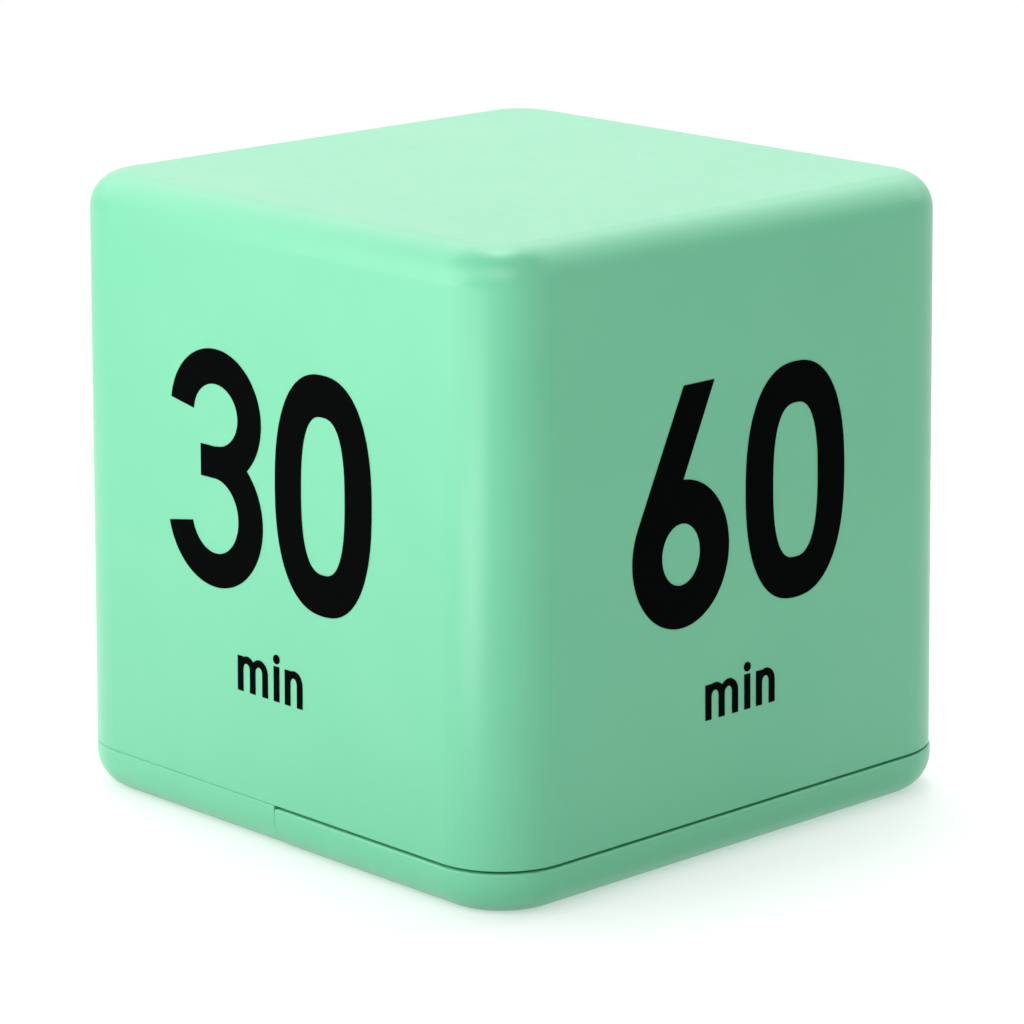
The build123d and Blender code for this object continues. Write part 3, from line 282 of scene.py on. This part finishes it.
# Display window: clear acrylic, moulded and polished. Water-clear, with faint rub marks in the gloss
RUB_WIDTH, RUB_LENGTH = 0.6, 6.0
window, tree, shader, place = material("clear_acrylic_polished")
rubs = [1 / (size * MM) for size in (RUB_WIDTH, RUB_LENGTH, RUB_LENGTH)]
rubs = node(tree, "ShaderNodeMapping", {"Vector": place, "Scale": rubs})["Vector"]
marks = node(tree, NOISE, {"Vector": rubs, "Scale": 1.0, "Detail": 3.0})["Fac"]
give(tree, shader, {
    "IOR": 1.49,
    "Transmission Weight": 1.0,
    "Base Color": node(tree, MIX, {"data_type": "RGBA", 0: marks, 6: linear("#fbfdfc"), 7: linear("#f4f8f6")})[2],
    "Roughness": node(tree, RAMP, [marks, 0.4, 0.7, 0.01, 0.06])[0],
})
dress(window, "lcd_window")

# Front of the display: thin soda-lime glass under a polarising film. It lets the eye straight through, with a faint
# grey-green haze from the fine matt film
FILM_GRAIN = 0.3
film_glass, tree, shader, place = material("soda_lime_glass_polariser_film")
haze = node(tree, NOISE, {"Vector": place, "Scale": 1 / (FILM_GRAIN * MM), "Detail": 2.0})["Fac"]
give(tree, shader, {
    "IOR": 1.52,
    "Alpha": 0.10,
    "Base Color": node(tree, MIX, {"data_type": "RGBA", 0: haze, 6: linear("#c3ccbd"), 7: linear("#b8c2b3")})[2],
    "Roughness": node(tree, RAMP, [haze, *SPREAD, 0.06, 0.12])[0],
})
dress(film_glass, "lcd_front_glass")

# Back of the display: glass with a matt reflector foil. Pale grey-green with a soft, finely mottled sheen; the foil's
# grain is drawn at 0.4 mm, coarser than the real one
reflector = moulded("reflector_foil_on_glass", "#b7c1b0", "#a9b4a4", 0.42, 0.4, 0.4, 0.002)
dress(reflector, "lcd_back_glass")

# Contact strips: silicone rubber with layers of carbon. Pink-grey bands crossed by dark ones, drawn at a pitch
# of 0.6 mm because the real 0.1 mm would not show. The wave node turns by 20 radians for each unit of place
BAND_PITCH, WAVE_RATE = 0.6, 20
rubber, tree, shader, place = material("silicone_rubber_carbon_layers")
bands = node(tree, "ShaderNodeTexWave", {
    "Vector": place, "wave_type": "BANDS", "bands_direction": "Y", "Scale": 2 * pi / (WAVE_RATE * BAND_PITCH * MM)
})["Fac"]
dark = node(tree, RAMP, [bands, *HALFWAY, 0.0, 1.0])[0]
give(tree, shader, {
    "IOR": 1.41,
    "Base Color": node(tree, MIX, {"data_type": "RGBA", 0: dark, 6: linear("#c9a8a0"), 7: linear("#262628")})[2],
    "Roughness": node(tree, RAMP, [bands, 0.0, 1.0, 0.55, 0.68])[0],
})
dress(rubber, "zebra_strips")

# Display frame: off-white ABS, moulded. Plain satin with a faint flow
dress(moulded("white_abs_moulded", "#e2e1da", "#d8d7cf", 0.42, 6.0, 0.8, 0.004), "lcd_frame")

# Board: glass-epoxy laminate under green solder mask. Glossy dark green with paler tracks under the mask, and the
# bare yellowish laminate on its cut edges
TRACK_LENGTH, TRACK_PITCH, TRACK_WIDTH, TRACK_HEIGHT = 5.0, 1.1, 0.25, 0.03
laminate, tree, shader, place = material("glass_epoxy_solder_mask")
tracks = node(tree, "ShaderNodeTexBrick", {
    "Vector": place, "Scale": 1 / MM, "Brick Width": TRACK_LENGTH, "Row Height": TRACK_PITCH,
    "Mortar Size": TRACK_WIDTH / 2, "Mortar Smooth": 0.1,
})["Fac"]
facing = node(tree, "ShaderNodeSeparateXYZ", [node(tree, "ShaderNodeTexCoord")["Normal"]])["Z"]
flat = node(tree, MATH, {"operation": "ABSOLUTE", 0: facing})[0]
face = node(tree, RAMP, [flat, *HALFWAY, 0.0, 1.0])[0]
mask = node(tree, MIX, {"data_type": "RGBA", 0: tracks, 6: linear("#1c5a3a"), 7: linear("#2c7a4f")})[2]
give(tree, shader, {
    "IOR": 1.55,
    "Base Color": node(tree, MIX, {"data_type": "RGBA", 0: face, 6: linear("#b7a569"), 7: mask})[2],
    "Roughness": node(tree, RAMP, [flat, *HALFWAY, 0.65, 0.28])[0],
    "Normal": node(tree, "ShaderNodeBump", {"Distance": TRACK_HEIGHT * MM, "Height": tracks})["Normal"],
})
dress(laminate, "circuit_board")

# Chip cover: a drop of black epoxy, cured in place. Domed and glossy with a slow ripple
dress(moulded("black_epoxy_cast", "#17181b", "#101114", 0.28, 3.0, 1.5, 0.02), "chip_blob")

# Chip parts and transistor: fired or moulded bodies, dull and finely grained between bright tinned ends
dress(tipped("chip_resistor_glazed", "#1d1e22", "#15161a", 0.40, 0.4, "X", -6.98, -6.02, "#c8c9c6"), "resistors")
dress(tipped("chip_ceramic_fired", "#b08a5e", "#a27d54", 0.50, 0.4, "X", -18.05, -16.95, "#c8c9c6"), "capacitors")
dress(tipped("black_epoxy_moulded", "#1f2023", "#18191c", 0.50, 0.4, "Y", 21.34, 22.64, "#c8c9c6"), "transistor")

# Leads: PVC over tinned copper strands, stripped where they are soldered to the board. Satin colour with bare silver
# ends; a battery lead's other end is hidden in its contact's tab, so its colour goes all the way up
dress(tipped("red_pvc_extruded", "#b5221f", "#a61d1b", 0.42, 0.8, "Z", 9.6, 30.0, "#cfcfcb"), "battery_lead_red")
dress(tipped("black_pvc_extruded", "#1b1b1d", "#141416", 0.42, 0.8, "Z", 9.6, 30.0, "#cfcfcb"), "battery_lead_black")
dress(tipped("red_pvc_thin", "#b5221f", "#a61d1b", 0.42, 0.8, "Z", 4.2, 6.6, "#cfcfcb"), "sounder_lead_red")
dress(tipped("black_pvc_thin", "#1b1b1d", "#141416", 0.42, 0.8, "Z", 4.2, 6.6, "#cfcfcb"), "sounder_lead_black")

# Switch and tilt-switch headers: black nylon, moulded. Matt, with a fine mould grain
black_nylon = moulded("black_nylon_moulded", "#1c1c1e", "#161618", 0.55, 2.0, 0.3, 0.006)
dress(black_nylon, "switch_body", "tilt_left_header", "tilt_right_header", "tilt_upright_header")

# Switch knob: black acetal, moulded. Satin and a little waxy; its ribs for the fingernail are a piece of their own
acetal = moulded("black_acetal_moulded", "#1a1a1c", "#141416", 0.40, 1.5, 0.4, 0.003)
dress(acetal, "switch_knob")

# Bare metal parts. Fine lines run one way over what is drawn, rolled or plated; what is fired on or polished has an
# even, fine mottle
dress(metal("steel_can_drawn", "#c3c4c4", "#aeb0b0", 0.28, 0.5, (0.1, 1, 1)), "crystal")
dress(metal("tinned_brass_drawn", "#c9c8c2", "#b3b2ab", 0.32, 0.3, (1, 1, 0.15)), "switch_terminals", "tilt_pins")
dress(metal("brass_sheet_rolled", "#cba65a", "#b8924a", 0.30, 0.5, (1, 0.1, 1)), "sounder_disc")
tilt_cans = ("tilt_left_can", "tilt_right_can", "tilt_upright_can")
dress(metal("brass_can_drawn", "#c9a556", "#b08c45", 0.26, 0.4, (1, 1, 0.2)), *tilt_cans)
dress(metal("silver_fired_on_ceramic", "#cfccc4", "#bab7ae", 0.52, 0.3, (1, 1, 1)), "sounder_ceramic")
tilt_balls = ("tilt_left_ball", "tilt_right_ball", "tilt_upright_ball")
dress(metal("bearing_steel_polished", "#cfd0d2", "#c2c3c6", 0.10, 0.5, (1, 1, 1)), *tilt_balls)
contacts = ("contact_bridge", "contact_plus", "contact_minus", "contact_spring_1", "contact_spring_2")
dress(metal("nickel_plated_steel", "#cbc7bd", "#b9b5aa", 0.24, 0.4, (0.15, 1, 1)), *contacts)
dress(metal("zinc_plated_steel", "#c2c5c8", "#a9adb2", 0.34, 0.3, (1, 1, 0.3)), "case_screws", "board_screws")

# Where a cell's sleeve and its white ring start and end along the cell, how softly, and the size of the film's
# creases, in mm
SLEEVE_START, SLEEVE_END, RING_START, RING_END, PRINT_FADE = -20.35, 22.65, 15.0, 17.0, 0.05
CREASE_WIDTH, CREASE_LENGTH = 1.0, 12.5


def cell_sleeve(name, way):
    """Printed film shrunk on a steel can: blue-grey with a white ring towards the nub and bare nickel at both
    ends. The pattern runs along Y, turned round for the cell that lies the other way."""
    made, tree, shader, place = material(name)
    along = node(tree, "ShaderNodeSeparateXYZ", [place])["Y"]
    along = node(tree, MATH, {"operation": "MULTIPLY", 0: along, 1: way / MM})[0]
    base = node(tree, RAMP, [along, SLEEVE_START - PRINT_FADE, SLEEVE_START + PRINT_FADE, 1.0, 0.0])[0]
    nub = node(tree, RAMP, [along, SLEEVE_END - PRINT_FADE, SLEEVE_END + PRINT_FADE, 0.0, 1.0])[0]
    bare = node(tree, MATH, {"operation": "MAXIMUM", 0: base, 1: nub})[0]
    start = node(tree, RAMP, [along, RING_START - PRINT_FADE, RING_START + PRINT_FADE, 0.0, 1.0])[0]
    stop = node(tree, RAMP, [along, RING_END - PRINT_FADE, RING_END + PRINT_FADE, 1.0, 0.0])[0]
    ring = node(tree, MATH, {"operation": "MULTIPLY", 0: start, 1: stop})[0]
    crease = [1 / (size * MM) for size in (CREASE_WIDTH, CREASE_LENGTH, CREASE_WIDTH)]
    crease = node(tree, "ShaderNodeMapping", {"Vector": place, "Scale": crease})["Vector"]
    crease = node(tree, NOISE, {"Vector": crease, "Scale": 1.0, "Detail": 2.0})["Fac"]
    film = node(tree, MIX, {"data_type": "RGBA", 0: crease, 6: linear("#6f8596"), 7: linear("#64798a")})[2]
    film = node(tree, MIX, {"data_type": "RGBA", 0: ring, 6: film, 7: linear("#e4e6e4")})[2]
    give(tree, shader, {
        "Metallic": bare,
        "Base Color": node(tree, MIX, {"data_type": "RGBA", 0: bare, 6: film, 7: linear("#c8c5bc")})[2],
        "Roughness": node(tree, RAMP, [crease, *SPREAD, 0.24, 0.36])[0],
    })
    return made


# Cells: steel cans in a printed film sleeve, glossy with faint creases along them
dress(cell_sleeve("printed_film_sleeve_1", 1), "battery_cell_1")
dress(cell_sleeve("printed_film_sleeve_2", -1), "battery_cell_2")


def prisms(outlines, low, high):
    """Flat shapes given a thickness: each closed outline, an array of points (shape, corner, xy) in mm that run
    anticlockwise seen from above, is carried straight up from low to high. Gives the points in metres and faces."""
    shapes, corners = outlines.shape[:2]
    levels = np.array([low, high])
    xy = np.broadcast_to(outlines[:, None], (shapes, 2, corners, 2))
    z = np.broadcast_to(levels[None, :, None, None], (shapes, 2, corners, 1))
    points = np.concatenate([xy, z], axis=-1) * MM
    first = np.arange(shapes)[:, None] * 2 * corners
    ring = np.arange(corners)[None]
    after = (ring + 1) % corners
    sides = np.stack([first + ring, first + after, first + corners + after, first + corners + ring], axis=-1)
    caps = [(first + ring[:, ::-1]).tolist(), (first + corners + ring).tolist()]
    return points, sides.reshape(-1, 4).tolist() + caps[0] + caps[1]


# Segments of the display, the figures 00:00 in dark film behind the front glass: a six-cornered bar for each
# segment, laid along the digit's sides, and two six-cornered dots. The text runs along +Y with its top towards +X, as
# it is read from below
DIGIT_HIGH, DIGIT_WIDE, STROKE, GAP, CORNERS = 7.0, 3.6, 0.8, 0.15, 6
DIGIT_ROW, DOT_ROW = (-8.0, -3.2, 3.2, 8.0), (-1.4, 1.4)
DISPLAY_MIDDLE = np.array([-11.2, -5.21])
FILM_LOW, FILM_HIGH, FILM_CLOUD = 3.06, 3.09, 1.5


def bar(length):
    """A bar of a length along the second axis, with both ends cut to points at 45 degrees."""
    half, edge = length / 2 - GAP, STROKE / 2
    return np.array([
        (0, -half), (edge, -half + edge), (edge, half - edge), (0, half), (-edge, half - edge), (-edge, -half + edge)
    ])


rise, reach = (DIGIT_HIGH - STROKE) / 2, (DIGIT_WIDE - STROKE) / 2
level_bar = bar(DIGIT_WIDE - STROKE)
upright_bar = bar(rise)[:, ::-1][::-1]
level_places = np.array([(rise, 0), (-rise, 0)])
upright_places = np.array([(a * rise / 2, b * reach) for a in (-1, 1) for b in (-1, 1)])
digit = np.concatenate([level_places[:, None] + level_bar, upright_places[:, None] + upright_bar])
digit_places = np.array([(0, y) for y in DIGIT_ROW])
dot_places = np.array([(x, 0) for x in DOT_ROW])
angles = np.arange(CORNERS) * 2 * pi / CORNERS
dots = dot_places[:, None] + np.stack([np.cos(angles), np.sin(angles)], axis=-1) * STROKE / 2
shapes = np.concatenate([(digit_places[:, None, None] + digit[None]).reshape(-1, CORNERS, 2), dots])

# Their film: dichroic dye in a thin layer. Near black and matt, with a faint cloud
segment_film, tree, shader, place = material("dichroic_film_dark")
cloud = node(tree, NOISE, {"Vector": place, "Scale": 1 / (FILM_CLOUD * MM), "Detail": 2.0})["Fac"]
give(tree, shader, {
    "Base Color": node(tree, MIX, {"data_type": "RGBA", 0: cloud, 6: linear("#24282a"), 7: linear("#2e3335")})[2],
    "Roughness": node(tree, RAMP, [cloud, *SPREAD, 0.45, 0.55])[0],
})
points, faces = prisms(shapes + DISPLAY_MIDDLE, FILM_LOW, FILM_HIGH)
piece("lcd_segments", points, faces, "case", segment_film)

# Solder joints: each a fillet turned about an upright axis, its radius falling from the pad to the wire as
# r = wire + (pad - wire) * (1 - s) ^ 2.2 while the height goes as s, closed at both ends. Each row below gives the
# place of a joint, the board's face that it is on, its height (down from the lower face), its pad and its wire. The
# rows are for the switch, the battery leads, the sounder leads, the two lying tilt switches and the upright one
SOLDER_STEPS, SOLDER_TURNS, HOLLOW, BOARD_TOP, BOARD_BOTTOM = 9, 24, 2.2, 8.4, 7.2
joints = np.array([
    *[(-23.31, y, BOARD_TOP, 0.9, 0.85, 0.40) for y in (-8.51, -6.01, -3.51)],
    *[(-5.8, y, BOARD_TOP, 1.1, 1.35, 0.60) for y in (-17.51, -1.51)],
    *[(x, 20.99, BOARD_BOTTOM, -0.6, 0.90, 0.30) for x in (-18.1, -12.0)],
    *[(x, -14.15, BOARD_TOP, 0.6, 0.60, 0.25) for x in (-13.44, -11.56)],
    *[(x, -15.57, BOARD_TOP, 0.6, 0.60, 0.25) for x in (-14.86, -10.14)],
    *[(x, -22.01, BOARD_BOTTOM, -0.6, 0.60, 0.25) for x in (-13.5, -11.5)],
])
x, y, start, height, pad, wire = joints.T[:, :, None, None]
s = np.linspace(0, 1, SOLDER_STEPS)[None, :, None]
turn = np.linspace(0, 2 * pi, SOLDER_TURNS, endpoint=False)[None, None, :] * np.sign(height)
radius = wire + (pad - wire) * (1 - s) ** HOLLOW
points = [x + radius * np.cos(turn), y + radius * np.sin(turn), start + height * s + 0 * turn]
points = np.stack(points, axis=-1) * MM
first = np.arange(len(joints))[:, None, None] * SOLDER_STEPS * SOLDER_TURNS
low = first + np.arange(SOLDER_STEPS - 1)[None, :, None] * SOLDER_TURNS
high = low + SOLDER_TURNS
ring = np.arange(SOLDER_TURNS)[None, None, :]
after = (ring + 1) % SOLDER_TURNS
faces = np.stack([low + ring, low + after, high + after, high + ring], axis=-1).reshape(-1, 4).tolist()
faces += (first + ring[..., ::-1]).reshape(-1, SOLDER_TURNS).tolist()
faces += (first + (SOLDER_STEPS - 1) * SOLDER_TURNS + ring).reshape(-1, SOLDER_TURNS).tolist()

# Their solder: tin that has flowed. Bright, with an even, soft mottle
solder = metal("tin_solder_flowed", "#d2d3d1", "#bfc0bd", 0.22, 0.6, (1, 1, 1))
piece("solder_joints", points, faces, "case", solder)

# Ribs under the switch knob: bars across it, set evenly along its travel and sunk a little into it
RIB_LENGTH, RIB_WIDTH, RIB_PITCH, RIB_COUNT = 1.8, 0.28, 0.62, 4
KNOB_MIDDLE, KNOB_BOTTOM, RIB_HEIGHT, RIB_SINK = np.array([-23.31, -8.01]), 0.4, 0.18, 0.05
rib = np.array([(-1, -1), (1, -1), (1, 1), (-1, 1)]) * np.array([RIB_LENGTH, RIB_WIDTH]) / 2
steps = (np.arange(RIB_COUNT) - (RIB_COUNT - 1) / 2) * RIB_PITCH
places = KNOB_MIDDLE + np.stack([0 * steps, steps], axis=-1)
points, faces = prisms(places[:, None] + rib, KNOB_BOTTOM - RIB_HEIGHT, KNOB_BOTTOM + RIB_SINK)
piece("switch_knob_ribs", points, faces, "switch_slider", acetal)
